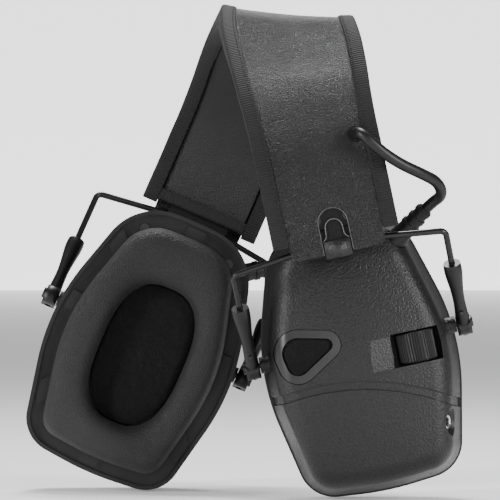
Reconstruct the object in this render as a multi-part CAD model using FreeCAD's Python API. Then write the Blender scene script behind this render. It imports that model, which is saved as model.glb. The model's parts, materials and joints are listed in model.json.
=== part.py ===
"""Folding electronic earmuffs, standing on their two cups with the headband twisted.

Units are millimetres.  +Z is up, +X is the wearer's left, -Y is the wearer's front.
Each half is built in its own upright frame and then leaned over about the X axis:

  half frame   x outward, y to the rear, z up, origin on top of the headband's crown
  end frame    at the axis of the yoke wire's bar, x outward, z up along the band
  cup frame    at the axis of the cup's two pivot pins, x outward, y rear, z up
  arm frame    at the same pivot axis, z up along the wire leg, x outward
"""
import FreeCAD, Part
import math
import os

V = FreeCAD.Vector
X_AXIS = V(1, 0, 0)
Y_AXIS = V(0, 1, 0)
Z_AXIS = V(0, 0, 1)

# ---- whole object ------------------------------------------------------------------
CROWN_HEIGHT = 194.4
LEAN = {"left": 12.0, "right": -23.5}      # degrees that each half leans about X
TWIST_REACH = 52.0                         # the band twists within this length each side

# ---- headband ----------------------------------------------------------------------
BAND_RADIUS = 72.0                         # outer surface of the arch
BAND_ARC = 93.0                            # degrees from the crown to the straight ends
BAR_DROP = 94.5                            # the yoke bar's axis below the crown
BAND_HALF_WIDTH = 24.8
COVER_T = 1.2
FLAP_HALF_WIDTH = 19.0                     # the cover is narrower below the binding
FLAP_DROP = BAR_DROP - 2.8
COVER_DROP = BAR_DROP + 3.4
SPRING_DEPTH = 1.9
SPRING_T = 0.8
SPRING_HALF_WIDTH = 10.0
SPRING_DROP = BAR_DROP - 7.0
PAD_TOP = 3.6                              # depth of the foam's outer face
PAD_DEPTH_CROWN = 9.4                      # depth of the lining's inner face
PAD_DEPTH_END = 6.8
FOAM_DROP = BAR_DROP - 17.0
LINING_T = 1.0
LINING_DROP = BAR_DROP - 4.5
TAPE_T = 0.7
TAPE_HEIGHT = 4.6
BINDING_T = 0.5
BINDING_WIDTH = 5.6
EYELET_DROP = 53.2
EYELET_Y = 15.8
EYELET_R = 2.6
EYELET_FLANGE_R = 3.2
BAND_WIRE_R = 0.9
BAND_WIRE_DEPTH = 2.4
WINDOW_HALF_WIDTH = 5.8
WINDOW_TOP = 15.0                          # above the bar's axis

# ---- yoke wire ---------------------------------------------------------------------
WIRE_R = 1.25
RUN_CLEARANCE = 0.07
BAR_DEPTH = 3.7                            # below the band's outer surface
BAR_STRAIGHT = 15.0                        # half length of the bar's straight middle
LEG_Y = 43.0
ROOF_FALL = 4.0
LEG_LEAN = 28.0                            # degrees that the legs lean inward
LEG_LENGTH = 48.0
BEND_R = 2.6
KNEE_R = 10.0

# ---- slider arms -------------------------------------------------------------------
ARM_TOP = 29.5
KNUCKLE_R = 4.0
FOOT_BALL_R = 5.3                          # rounds the foot off all round
WIRE_OFFSET = 3.2                          # wire line outboard of the pivot axis
ARM_INNER_Y = 40.3
ARM_OUTER_Y = 46.0
PIN_R = 1.2
PIN_RUN_R = 1.25

# ---- cup ---------------------------------------------------------------------------
RIM_X = -14.0
FLANGE_T = 3.0
FACE_X = 21.0
DRAFT = 0.171                              # inset per millimetre of depth
WALL = 2.2
SHOULDER_R = 9.0
CROWN_R_Y = 170.0
CROWN_R_Z = 240.0
CROWN_MID_Z = -15.0
RIM_POINTS = [(0, -60.5), (31, -57.5), (42, -4), (26, 50.5), (0, 52),
              (-26, 50.5), (-42, -4), (-31, -57.5)]
RIM_RADII = [120, 15, 90, 24, 150, 24, 90, 15]
GROOVE_CENTRE = (-19.4, -107.9)
GROOVE_R = 95.9
GROOVE_WIDTH = 3.4
GROOVE_DEPTH = 0.8
PART_GAP = 0.15
DISH_INSET = 9.5
DISH_FLOOR_X = 0.0
DISH_WALL = 2.0
SHELL_BACK_X = DISH_FLOOR_X + DISH_WALL + 0.02
LIP_T = 1.6
LIP_HEIGHT = 3.0
PLATE_INSET = 6.9
CUSHION_BACK_X = -16.4
CUSHION_FACE_X = -31.5
EAR_HALF = (17.5, 29.5)                    # half axes of the cushion's oval opening
EAR_CENTRE = (1.0, -7.0)
FOAM_FACE_X = -21.5
SPEAKER_CENTRE = (0.0, -5.0)
BOSSES = [(18.6, 41.0), (-18.6, 41.0), (23.0, -49.9), (-23.0, -49.9)]
BOSS_R = 2.6
SCREW_R = 1.1

# ---- microphone, thumbwheel, jack, battery door ------------------------------------
MIC_POINTS = [(-36.5, 14.5), (-30.5, -14.8), (2.5, 5.7)]
MIC_RADII = [9.5, 8.0, 5.8]
MIC_CENTRE = (-22.0, 1.5)
MIC_RING = 3.2
KNOB_CENTRE = (10.6, 22.6)                 # x and y of the thumbwheel's axis
KNOB_R = 8.2
KNOB_Z = (-11.2, 1.2)
KNOB_SHAFT_R = 2.0
WHEEL_WINDOW_Y = (13.0, 32.0)
WHEEL_WINDOW_Z = (-11.6, 1.8)
RAMP_Y = 3.6
RAMP_DEPTH = 3.2
JACK_MOUTH = V(11.2, 28.4, -36.9)
JACK_AXIS = V(0.42, 0.89, -0.17).normalize()
JACK_BORE_R = 1.8
JACK_BARREL_R = 3.0
JACK_DEPTH = 14.0
DISH_WIDE_R = 8.5                          # 5 mm out from the jack's mouth
DOOR_PIN = (-8.8, -56.4)                   # x and z of the battery door's pin
DOOR_PIN_R = 0.75
DOOR_BARREL_R = 1.4
DOOR_BARREL_Y = (6.0, 14.0)                # the rear barrel; the front one mirrors it
CELL_R = 5.25
CELL_LENGTH = 44.5
CELL_Z = (-27.9, -38.7)
CELL_X = 8.6

# ---- link cable --------------------------------------------------------------------
CABLE_R = 2.25
BOOT_WIDE_R = 4.6
BOOT_NARROW_R = 2.9
BOOT_ROOT = V(7.2, 18.9, 35.0)             # in the cup frame
BOOT_TIP = V(14.5, 37.3, 47.8)


# ---- small builders ----------------------------------------------------------------
def block(x, y, z):
    """A box between the two values of each pair."""
    return Part.makeBox(x[1] - x[0], y[1] - y[0], z[1] - z[0], V(x[0], y[0], z[0]))


def rod(start, end, radius):
    return Part.makeCylinder(radius, (end - start).Length, start, end - start)


def disc(centre, radius, x_from, x_to):
    """A round plug along X, centred on a point given as (y, z)."""
    return rod(V(x_from, *centre), V(x_to, *centre), radius)


def oval(half_axes, x_from, x_to):
    """A plug along X with the oval outline of the cushion's opening."""
    ellipse = Part.Ellipse(V(0, 0, 0), half_axes[1], half_axes[0]).toShape()
    ellipse.Placement = FreeCAD.Placement(
        V(x_from, *EAR_CENTRE), FreeCAD.Rotation(V(0, 0, 1), V(0, -1, 0), V(1, 0, 0)))
    return Part.Face(Part.Wire(ellipse)).extrude(V(x_to - x_from, 0, 0))


def union(shapes):
    whole = shapes[0]
    for shape in shapes[1:]:
        whole = whole.fuse(shape)
    return whole.removeSplitter()


def group(shapes):
    return Part.makeCompound(shapes)


def rounded_outline(points, radii, inset, x):
    """A closed wire in the plane at x: the polygon (y, z) moved in by inset, with arcs for corners."""
    corners = [V(0, y, z) for y, z in points]
    arcs = []
    for i, corner in enumerate(corners):
        arriving = (corner - corners[i - 1]).normalize()
        leaving = (corners[(i + 1) % len(corners)] - corner).normalize()
        inward = X_AXIS.cross(arriving) + X_AXIS.cross(leaving)
        turn = arriving.getAngle(leaving)
        radius = radii[i] - inset
        middle = corner + inward * (inset / (1 + math.cos(turn))) + V(x, 0, 0)
        reach = radius * math.tan(turn / 2)
        bulge = radius / math.cos(turn / 2) - radius
        start = middle - arriving * reach
        end = middle + leaving * reach
        arcs.append((start, middle + inward.normalize() * bulge, end))
    edges = []
    for i, (start, middle, end) in enumerate(arcs):
        edges.append(Part.LineSegment(arcs[i - 1][2], start).toShape())
        edges.append(Part.Arc(start, middle, end).toShape())
    return Part.Wire(edges)


def prism(wire, x_length):
    return Part.Face(wire).extrude(V(x_length, 0, 0))


def rim_wire(inset, x):
    return rounded_outline(RIM_POINTS, RIM_RADII, inset, x)


def rim_ring(outer_inset, inner_inset, x_from, x_to):
    outer = prism(rim_wire(outer_inset, x_from), x_to - x_from)
    return outer.cut(prism(rim_wire(inner_inset, x_from), x_to - x_from))


def draft_block(x_from, x_to, skin):
    """The cup's tapered body between two planes, skin millimetres inside its outer walls."""
    wires = [rim_wire(skin + DRAFT * (x - RIM_X), x) for x in (x_from, x_to)]
    return Part.makeLoft(wires, True, True)


def crown_tool(skin):
    """A solid whose outer surface is the cup's face, curved both ways."""
    front_x = FACE_X - skin
    centre = V(front_x - CROWN_R_Z, 0, CROWN_MID_Z)
    half_turn = math.radians(20)
    tips = [centre + V(math.cos(a), 0, math.sin(a)) * CROWN_R_Z for a in (-half_turn, half_turn)]
    front = Part.Arc(tips[0], V(front_x, 0, CROWN_MID_Z), tips[1]).toShape()
    back = [V(-70, 0, tips[1].z), V(-70, 0, tips[0].z)]
    face = Part.Face(Part.Wire([front] + Part.makePolygon([tips[1]] + back + [tips[0]]).Edges))
    axis_point = V(FACE_X - CROWN_R_Y, 0, 0)
    face.rotate(axis_point, Z_AXIS, -22)
    return face.revolve(axis_point, Z_AXIS, 44)


def cup_body(x_from, skin):
    """The cup's solid shape from x_from outward, with its rounded shoulder."""
    body = draft_block(x_from, FACE_X + 6, skin).common(crown_tool(skin))
    solid = body.Solids[0]
    face = max(solid.Faces, key=lambda f: f.CenterOfMass.x)
    return solid.makeFillet(SHOULDER_R - skin, face.Edges)


def bent_rod(points, radii, radius):
    """A round rod along straight runs joined by tangent arcs, one radius for each inner point."""
    edges = []
    start = points[0]
    for before, corner, after, bend in zip(points, points[1:], points[2:], radii):
        arriving = (corner - before).normalize()
        leaving = (after - corner).normalize()
        half_turn = arriving.getAngle(leaving) / 2
        reach = bend * math.tan(half_turn)
        middle = corner + (leaving - arriving).normalize() * (bend / math.cos(half_turn) - bend)
        edges.append(Part.LineSegment(start, corner - arriving * reach).toShape())
        edges.append(Part.Arc(corner - arriving * reach, middle, corner + leaving * reach).toShape())
        start = corner + leaving * reach
    edges.append(Part.LineSegment(start, points[-1]).toShape())
    path = Part.Wire(edges)
    profile = Part.Wire(Part.Circle(points[0], points[1] - points[0], radius).toShape())
    return path.makePipeShell([profile], True, False)


def cord_tube(name, points, radius):
    """A cord's tube: every arc is as large as its two runs allow.  The radii are printed."""
    radii = []
    for before, corner, after in zip(points, points[1:], points[2:]):
        turn = (corner - before).getAngle(after - corner)
        shorter = min((corner - before).Length, (after - corner).Length)
        radii.append(0.45 * shorter / math.tan(turn / 2))
    tube = bent_rod(points, radii, radius)
    length = tube.Volume / (math.pi * radius ** 2)
    print(name, "length", round(length, 1), "radii", [round(r, 1) for r in radii])
    return tube


# ---- headband ----------------------------------------------------------------------
ARC_LENGTH = BAND_RADIUS * math.radians(BAND_ARC)
ARC_DROP = BAND_RADIUS * (1 - math.cos(math.radians(BAND_ARC)))
END_TILT = BAND_ARC - 90


def along(drop):
    """Distance along the band from the crown to a point that far below it."""
    if drop <= ARC_DROP:
        return BAND_RADIUS * math.acos(1 - drop / BAND_RADIUS)
    return ARC_LENGTH + (drop - ARC_DROP) / math.cos(math.radians(END_TILT))


def smooth(t):
    t = min(max(t, 0), 1)
    return t * t * (3 - 2 * t)


def lean_at(s):
    share = smooth((s + TWIST_REACH) / (2 * TWIST_REACH))
    return LEAN["right"] + (LEAN["left"] - LEAN["right"]) * share


def band_point(s, depth, across, lean=None):
    """A point of the twisted band: s along it (left is +), depth below its outer surface."""
    reach = min(abs(s), ARC_LENGTH)
    turn = reach / BAND_RADIUS
    beyond = abs(s) - reach
    radius = BAND_RADIUS - depth
    x = radius * math.sin(turn) + beyond * math.cos(turn)
    z = radius * math.cos(turn) - BAND_RADIUS - beyond * math.sin(turn)
    point = V(math.copysign(x, s), across, z)
    turned = FreeCAD.Rotation(X_AXIS, lean_at(s) if lean is None else lean)
    return turned.multVec(point) + V(0, 0, CROWN_HEIGHT)


def stations(s_from, s_to, longest=8.0):
    """Places along the band for its sections: even steps, and one where the arch turns straight."""
    marks = sorted({s_from, s_to} | {m for m in (-ARC_LENGTH, ARC_LENGTH) if s_from < m < s_to})
    places = [marks[0]]
    for low, high in zip(marks, marks[1:]):
        count = math.ceil((high - low) / longest)
        places += [low + (high - low) * (i + 1) / count for i in range(count)]
    return places


def band_loft(section, s_from, s_to):
    """A strip of the band whose section at s is a list of (depth, across) points."""
    wires = []
    for s in stations(s_from, s_to):
        ring = [band_point(s, depth, across) for depth, across in section(s)]
        wires.append(Part.makePolygon(ring + ring[:1]))
    return Part.makeLoft(wires, True, False)


def flat_section(top, bottom, across_from, across_to):
    """A rectangular section.  The bottom depth may be a number or a function of s."""
    def section(s):
        low = bottom(s) if callable(bottom) else bottom
        high = top(s) if callable(top) else top
        return [(high, across_from), (high, across_to), (low, across_to), (low, across_from)]
    return section


def pad_depth(s):
    return PAD_DEPTH_CROWN + (PAD_DEPTH_END - PAD_DEPTH_CROWN) * smooth((abs(s) - 50) / 55)


def binding_section(side):
    """A folded strip around one edge of the band; side is -1 in front and +1 behind."""
    edge = side * (BAND_HALF_WIDTH + 0.05)
    outer = edge + side * BINDING_T
    lap = side * (BAND_HALF_WIDTH - BINDING_WIDTH)

    def section(s):
        inside = pad_depth(s) + 0.05
        return [(-0.05, lap), (-0.05, edge), (inside, edge), (inside, lap),
                (inside + BINDING_T, lap), (inside + BINDING_T, outer),
                (-0.05 - BINDING_T, outer), (-0.05 - BINDING_T, lap)]
    return section


def bar_distance():
    """How far beyond the arch the band runs to the level of the yoke's bar."""
    tilt = math.radians(END_TILT)
    return (BAR_DROP - ARC_DROP + BAR_DEPTH * math.sin(tilt)) / math.cos(tilt)


BAR_POINT = band_point(ARC_LENGTH + bar_distance(), BAR_DEPTH, 0, lean=0) - V(0, 0, CROWN_HEIGHT)
END_FRAME = FreeCAD.Placement(BAR_POINT, FreeCAD.Rotation(Y_AXIS, END_TILT))
EYELET_TURN = along(EYELET_DROP) / BAND_RADIUS
EYELET_PLACE = V(BAND_RADIUS * math.sin(EYELET_TURN), EYELET_Y,
                 BAND_RADIUS * (math.cos(EYELET_TURN) - 1))
EYELET_FRAME = FreeCAD.Placement(EYELET_PLACE,
                                 FreeCAD.Rotation(Y_AXIS, math.degrees(EYELET_TURN) - 90))
YOKE_FRAME = FreeCAD.Placement(BAR_POINT, FreeCAD.Rotation(Y_AXIS, LEG_LEAN))


def lowest_rim_point(lean):
    """How far the cup's rim reaches below its pivot when the cup leans."""
    rim = rim_wire(0, 0)
    rim.rotate(V(0, 0, 0), X_AXIS, lean)
    return -min(edge.BoundBox.ZMin for edge in rim.Edges if edge.Curve.TypeId != "Part::GeomLine")


def pivot_point(side):
    """The pivot axis in the half frame, placed so that the cup stands on the floor."""
    lean = abs(LEAN[side])
    drop = (CROWN_HEIGHT - lowest_rim_point(LEAN[side])) / math.cos(math.radians(lean))
    incline = math.radians(LEG_LEAN)
    below_bar = drop - BAR_DROP
    along_leg = (below_bar + WIRE_OFFSET * math.sin(incline)) / math.cos(incline)
    x = BAR_POINT.x - WIRE_OFFSET * math.cos(incline) - along_leg * math.sin(incline)
    return V(x, 0, -drop)


def in_half(shape, side):
    """Takes a shape from the half frame to its place, mirrored for the right half."""
    if side == "right":
        shape = shape.mirror(V(0, 0, 0), X_AXIS)
    shape = shape.copy()
    shape.rotate(V(0, 0, 0), X_AXIS, LEAN[side])
    shape.translate(V(0, 0, CROWN_HEIGHT))
    return shape


def placed(shape, frame):
    shape = shape.copy()
    shape.Placement = frame.multiply(shape.Placement)
    return shape


def cup_frame(side):
    return FreeCAD.Placement(pivot_point(side), FreeCAD.Rotation())


def arm_frame(side):
    return FreeCAD.Placement(pivot_point(side), FreeCAD.Rotation(Y_AXIS, LEG_LEAN))


def arch_plate(half_width, x, z_low, z_top):
    """A plate in the end frame with a straight foot and a round top."""
    plate = block(x, (-half_width, half_width), (z_low, z_top - half_width))
    return union([plate, disc((0, z_top - half_width), half_width, *x)])


def headband_cover():
    wide = flat_section(0, COVER_T, -BAND_HALF_WIDTH, BAND_HALF_WIDTH)
    narrow = flat_section(0, COVER_T, -FLAP_HALF_WIDTH, FLAP_HALF_WIDTH)
    low, end = along(FLAP_DROP), along(COVER_DROP)
    cover = band_loft(wide, -low, low)
    for s_from, s_to in ((low, end), (-end, -low)):
        cover = cover.fuse(band_loft(narrow, s_from, s_to))
    for side in LEAN:
        window = arch_plate(WINDOW_HALF_WIDTH, (0, 8), -8, WINDOW_TOP)
        hole = rod(V(-4, 0, 0), V(4, 0, 0), EYELET_R)
        for tool, frame in ((window, END_FRAME), (hole, EYELET_FRAME)):
            cover = cover.cut(in_half(placed(tool, frame), side))
    return cover


def end_clip():
    """Holds the yoke's bar.  Its tongue and textured foot show in the cover's window."""
    body = block((-2.0, 2.3), (-13, 13), (-4.3, 6.5))
    tab = block((-1.2, 0.85), (-9, 9), (6.4, 15))
    foot = block((2.2, 3.6), (-5.4, 5.4), (-4.9, 2.2))
    tongue = arch_plate(3.75, (1.85, 2.6), 2.0, 10.8)
    frame = arch_plate(3.75, (2.5, 3.1), 2.1, 10.8).cut(arch_plate(3.1, (2.5, 3.1), 1, 10.15))
    clip = union([body, tab, foot, tongue, frame])
    clip = clip.cut(rod(V(0, -14, 0), V(0, 14, 0), WIRE_R + RUN_CLEARANCE))
    for y in (-6.5, 6.5):
        clip = clip.cut(rod(V(-3, y, 11), V(1, y, 11), 1.2))
    return clip


def clip_rivet(y):
    shank = rod(V(-1.7, y, 11), V(2.2, y, 11), 1.15)
    heads = [rod(V(x, y, 11), V(x + 0.5, y, 11), 2.1) for x in (1.85, -1.75)]
    return union([shank] + heads)


def eyelet():
    """A flanged ring in the cover, in the half frame."""
    ring = rod(V(-COVER_T, 0, 0), V(0.6, 0, 0), EYELET_R - 0.05)
    flange = rod(V(0.1, 0, 0), V(0.8, 0, 0), EYELET_FLANGE_R)
    bore = rod(V(-3, 0, 0), V(3, 0, 0), CABLE_R + 0.02)
    return placed(union([ring, flange]).cut(bore), EYELET_FRAME)


def band_wire():
    """The link cable's inner run, lying beside the spring strip."""
    end = along(EYELET_DROP) + 3
    wires = []
    for s in stations(-end, end):
        centre = band_point(s, BAND_WIRE_DEPTH, EYELET_Y)
        tangent = band_point(s + 0.5, BAND_WIRE_DEPTH, EYELET_Y) - band_point(
            s - 0.5, BAND_WIRE_DEPTH, EYELET_Y)
        wires.append(Part.Wire(Part.Circle(centre, tangent, BAND_WIRE_R).toShape()))
    return Part.makeLoft(wires, True, False)


def headband_nodes():
    lining_end = along(LINING_DROP)
    flap_end = along(FLAP_DROP)
    foam_end = along(FOAM_DROP)
    spring_end = along(SPRING_DROP)
    hw = BAND_HALF_WIDTH
    tape_in = hw - BINDING_WIDTH - 0.1
    foam = flat_section(PAD_TOP, lambda s: pad_depth(s) - LINING_T - 0.05, -hw + 0.6, hw - 0.6)
    lining = flat_section(lambda s: pad_depth(s) - LINING_T, pad_depth, -hw, hw)
    tape = flat_section(lambda s: pad_depth(s) + 0.05, lambda s: pad_depth(s) + 0.05 + TAPE_T,
                        -tape_in, tape_in)
    spring = flat_section(SPRING_DEPTH, SPRING_DEPTH + SPRING_T, -SPRING_HALF_WIDTH,
                          SPRING_HALF_WIDTH)
    strip = band_loft(spring, -spring_end, spring_end)
    for side in LEAN:
        for y in (-6.5, 6.5):
            hole = placed(rod(V(-3, y, 11), V(5, y, 11), 1.2), END_FRAME)
            strip = strip.cut(in_half(hole, side))
    tape_start = along(LINING_DROP - TAPE_HEIGHT)
    nodes = {
        "headband_cover": headband_cover(),
        "headband_foam": band_loft(foam, -foam_end, foam_end),
        "headband_lining": band_loft(lining, -lining_end, lining_end),
        "edge_binding_front": band_loft(binding_section(-1), -flap_end, flap_end),
        "edge_binding_rear": band_loft(binding_section(1), -flap_end, flap_end),
        "end_tapes": group([band_loft(tape, tape_start, lining_end),
                            band_loft(tape, -lining_end, -tape_start)]),
        "spring_band": strip,
        "band_wire": band_wire(),
        "cable_eyelets": group([in_half(eyelet(), side) for side in LEAN]),
        "clip_rivets": group([in_half(placed(clip_rivet(y), END_FRAME), side)
                              for side in LEAN for y in (-6.5, 6.5)]),
    }
    for side in LEAN:
        nodes["end_clip_" + side] = in_half(placed(end_clip(), END_FRAME), side)
    return nodes


# ---- yoke wire and slider arms -----------------------------------------------------
def yoke_wire():
    """In the yoke frame, where the whole bent wire lies in the plane x = 0."""
    foot = -ROOF_FALL - LEG_LENGTH
    half = [V(0, BAR_STRAIGHT, 0), V(0, LEG_Y, -ROOF_FALL), V(0, LEG_Y, foot)]
    points = [V(0, -p.y, p.z) for p in reversed(half)] + half
    return bent_rod(points, [BEND_R, KNEE_R, KNEE_R, BEND_R], WIRE_R)


def arm():
    """The rear arm in the arm frame: a sleeve that necks down to a knuckle at the pivot."""
    sections = [(ARM_TOP, 3.4), (27.5, 3.6), (14.0, 2.4), (6.0, 2.6), (2.0, 2.7)]
    wires = [Part.Wire(Part.Circle(V(WIRE_OFFSET, LEG_Y, z), Z_AXIS, r).toShape())
             for z, r in sections]
    sleeve = Part.makeLoft(wires, True, False)
    width = (ARM_INNER_Y, ARM_OUTER_Y)
    knuckle = rod(V(0, width[0], 0), V(0, width[1], 0), KNUCKLE_R)
    toe = rod(V(WIRE_OFFSET, width[0], 0), V(WIRE_OFFSET, width[1], 0), KNUCKLE_R - 0.6)
    web = block((0, WIRE_OFFSET), width, (0.6 - KNUCKLE_R, KNUCKLE_R - 0.6))
    ball = Part.makeSphere(FOOT_BALL_R, V(WIRE_OFFSET / 2, LEG_Y, 0))
    body = union([sleeve, union([knuckle, toe, web]).common(ball)])
    body = body.cut(rod(V(WIRE_OFFSET, LEG_Y, -9), V(WIRE_OFFSET, LEG_Y, 40),
                        WIRE_R + RUN_CLEARANCE))
    body = body.cut(rod(V(0, 40, 0), V(0, 47, 0), PIN_R))
    return body.cut(rod(V(WIRE_OFFSET + 1.0, LEG_Y, 8), V(WIRE_OFFSET + 4, LEG_Y, 8), 0.8))


def pivot_pin():
    shank = rod(V(0, 34.4, 0), V(0, ARM_OUTER_Y + 0.3, 0), PIN_R)
    return union([shank, rod(V(0, ARM_OUTER_Y + 0.05, 0), V(0, ARM_OUTER_Y + 0.9, 0), 2.2)])


def arm_clip():
    """A small grub screw that presses on the wire leg through the arm's outer side."""
    return rod(V(WIRE_OFFSET + WIRE_R + 0.1, LEG_Y, 8), V(WIRE_OFFSET + 3.3, LEG_Y, 8), 0.75)


def both_ends(shape):
    """The rear piece and its mirror image in front."""
    return {"rear": shape, "front": shape.mirror(V(0, 0, 0), Y_AXIS)}


def suspension_nodes(side):
    nodes = {"yoke_wire_" + side: in_half(placed(yoke_wire(), YOKE_FRAME), side)}
    frame = arm_frame(side)
    for end, shape in both_ends(arm()).items():
        nodes["arm_" + end + "_" + side] = in_half(placed(shape, frame), side)
    for name, piece in (("pivot_pins_", pivot_pin()), ("arm_clips_", arm_clip())):
        pair = [in_half(placed(p, frame), side) for p in both_ends(piece).values()]
        nodes[name + side] = group(pair)
    return nodes


# ---- cup ---------------------------------------------------------------------------
def cup_shell():
    """The hollow tapered shell before it is divided into upper housing and lower cover."""
    base = RIM_X + FLANGE_T
    return cup_body(base, 0).cut(cup_body(base - 2, WALL))


def groove_tool():
    """What the shallow curved groove across the cup removes."""
    base = RIM_X + FLANGE_T
    skin = cup_body(base, 0).cut(cup_body(base - 2, GROOVE_DEPTH))
    outer = disc(GROOVE_CENTRE, GROOVE_R, -20, 40)
    return skin.common(outer.cut(disc(GROOVE_CENTRE, GROOVE_R - GROOVE_WIDTH, -20, 40)))


def below_groove(margin=0.0):
    return disc(GROOVE_CENTRE, GROOVE_R - GROOVE_WIDTH - margin, -20, 40)


def screw_boss(centre):
    return disc(centre, BOSS_R, RIM_X + FLANGE_T, 3).cut(disc(centre, SCREW_R, -12, 0))


def mic_plug(inset, x_from, x_to):
    return prism(rounded_outline(MIC_POINTS, MIC_RADII, inset, x_from), x_to - x_from)


def face_layer(top, bottom):
    """The part of the cup's body between two depths below its face."""
    return cup_body(0, top).cut(cup_body(-1, bottom))


def pivot_bosses():
    """Round bosses on the side walls that take the pivot pins."""
    rear = rod(V(0, 34.6, 0), V(0, ARM_INNER_Y - 0.25, 0), 3.3)
    return [rear, rear.mirror(V(0, 0, 0), Y_AXIS)]


def pin_bores():
    rear = rod(V(0, 30, 0), V(0, 48, 0), PIN_RUN_R)
    return union([rear, rear.mirror(V(0, 0, 0), Y_AXIS)])


def wheel_window():
    """The opening for the thumbwheel and the ramp that leads a finger to it."""
    y0, y1 = WHEEL_WINDOW_Y
    z0, z1 = WHEEL_WINDOW_Z
    middle = (z0 + z1) / 2
    opening = block((8, 30), (y0, y1), (z0, z1))
    swell = 60.0
    for y, inward in ((y0, 1), (y1, -1)):
        side = math.sqrt(swell ** 2 - (z1 - middle) ** 2)
        end = disc((y + inward * side, middle), swell, 8, 30)
        end = end.common(block((8, 30), (y - 2, y + 2), (z0, z1)))
        opening = opening.fuse(end)
    ramp = Part.Face(Part.makePolygon([
        V(FACE_X + 2, RAMP_Y, z0), V(FACE_X - 0.2, RAMP_Y, z0),
        V(FACE_X - RAMP_DEPTH, y0 + 1, z0), V(FACE_X + 2, y0 + 1, z0),
        V(FACE_X + 2, RAMP_Y, z0)]))
    return opening.removeSplitter(), ramp.extrude(V(0, 0, z1 - 0.6 - z0))


def upper_housing(shell, side):
    housing = shell.cut(below_groove())
    housing = union([housing] + pivot_bosses() + [screw_boss(c) for c in BOSSES if c[1] > 0])
    housing = housing.common(union([cup_body(RIM_X + FLANGE_T, 0)] + pivot_bosses()))
    housing = housing.cut(pin_bores()).cut(mic_plug(-0.25, 5, 40))
    housing = housing.cut(boot_hole())
    if side == "left":
        opening, ramp = wheel_window()
        housing = housing.cut(opening).cut(ramp)
    return max(housing.Solids, key=lambda solid: solid.Volume)


def jack_point(distance):
    """A point on the jack's axis, that far inward from its mouth."""
    return JACK_MOUTH - JACK_AXIS * distance


def lower_cover_left(shell):
    cover = shell.common(below_groove(PART_GAP))
    body = cup_body(RIM_X + FLANGE_T, 0)
    lugs = [screw_boss(c) for c in BOSSES if c[1] < 0]
    socket = rod(jack_point(9), jack_point(-3), JACK_BARREL_R + 3)
    cover = union([cover] + lugs + [socket.common(body)])
    dish = Part.makeCone(JACK_BARREL_R + 0.6, DISH_WIDE_R, 5, JACK_MOUTH, JACK_AXIS)
    return cover.cut(dish).cut(rod(jack_point(20), jack_point(-4), JACK_BARREL_R))


def aux_jack():
    barrel = rod(jack_point(JACK_DEPTH + 1), jack_point(0.2), JACK_BARREL_R - 0.02)
    return barrel.cut(rod(jack_point(JACK_DEPTH), jack_point(-1), JACK_BORE_R))


def door_rod(y_from, y_to, radius):
    x, z = DOOR_PIN
    return rod(V(x, y_from, z), V(x, y_to, z), radius)


def battery_door(shell):
    """The right cup's lower cover: it swings down about a pin along its bottom edge."""
    x, z = DOOR_PIN
    cover = shell.common(below_groove(PART_GAP))
    cover = cover.cut(block((x - 4, x + 1.6), (-50, 50), (z - 6, z + 3)))
    cover = cover.cut(block((x - 4, RIM_X + FLANGE_T + 0.4), (-50, 50), (z - 6, 0)))
    near, far = DOOR_BARREL_Y
    pieces = [cover]
    for y_from, y_to in ((near, far), (-far, -near)):
        pieces.append(door_rod(y_from, y_to, DOOR_BARREL_R))
        pieces.append(block((x, x + 2.4), (y_from, y_to), (z - 0.9, z + 1.1)))
    return union(pieces).cut(door_rod(-20, 20, DOOR_PIN_R + 0.05))


def door_lugs():
    """Lugs on the right inner shell that carry the door's pin, one at each end and one between."""
    x, z = DOOR_PIN
    near, far = DOOR_BARREL_Y
    lugs = []
    for y_from, y_to in ((0.2 - near, near - 0.2), (far + 0.2, far + 2.4), (-far - 2.4, -far - 0.2)):
        lugs.append(door_rod(y_from, y_to, DOOR_BARREL_R))
        lugs.append(block((RIM_X + 1, x), (y_from, y_to), (z - 1.2, z + DOOR_BARREL_R)))
    return lugs


def inner_shell(side):
    """Rim flange with its lip, and the dish that the ear sits in."""
    flange = prism(rim_wire(0, RIM_X), FLANGE_T)
    lip = rim_ring(0, LIP_T, RIM_X - LIP_HEIGHT, RIM_X)
    dish = draft_block(RIM_X, DISH_FLOOR_X + DISH_WALL, DISH_INSET)
    hollow = draft_block(RIM_X - 4, DISH_FLOOR_X, DISH_INSET + DISH_WALL)
    pieces = [flange, lip, dish]
    if side == "right":
        pieces += [lug.cut(door_rod(-20, 20, DOOR_PIN_R)) for lug in door_lugs()]
    shell = union(pieces).cut(hollow)
    shell = shell.cut(disc(SPEAKER_CENTRE, 16.3, -2, 4))
    for centre in bosses_of(side):
        shell = shell.cut(disc(centre, SCREW_R + 0.1, -20, 0))
        shell = shell.cut(disc(centre, 2.3, -20, RIM_X + 1.6))
    return shell


def bosses_of(side):
    """The right cup's lower cover is a door, so only its upper screws exist."""
    return [c for c in BOSSES if side == "left" or c[1] > 0]


def shell_screw(centre):
    head = disc(centre, 2.1, RIM_X, RIM_X + 1.55)
    slot = block((RIM_X - 1, RIM_X + 0.6), (centre[0] - 1.6, centre[0] + 1.6),
                 (centre[1] - 0.3, centre[1] + 0.3))
    return union([head, disc(centre, SCREW_R - 0.02, RIM_X + 1, -1)]).cut(slot)


def cushion_plate():
    plate = prism(rim_wire(PLATE_INSET, -16.2), 2.0).cut(oval((19, 31), -17, -13))
    tabs = rim_ring(2.6, PLATE_INSET + 0.6, -15.9, -14.3)
    spokes = []
    for angle in (88, 130, 176, 230, 268, 310, 4, 50):
        spoke = block((-17, -13), (0, 80), (-4, 4))
        spoke.rotate(V(0, 0, 0), X_AXIS, angle)
        spokes.append(spoke)
    return union([plate, tabs.common(group(spokes))])


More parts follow.
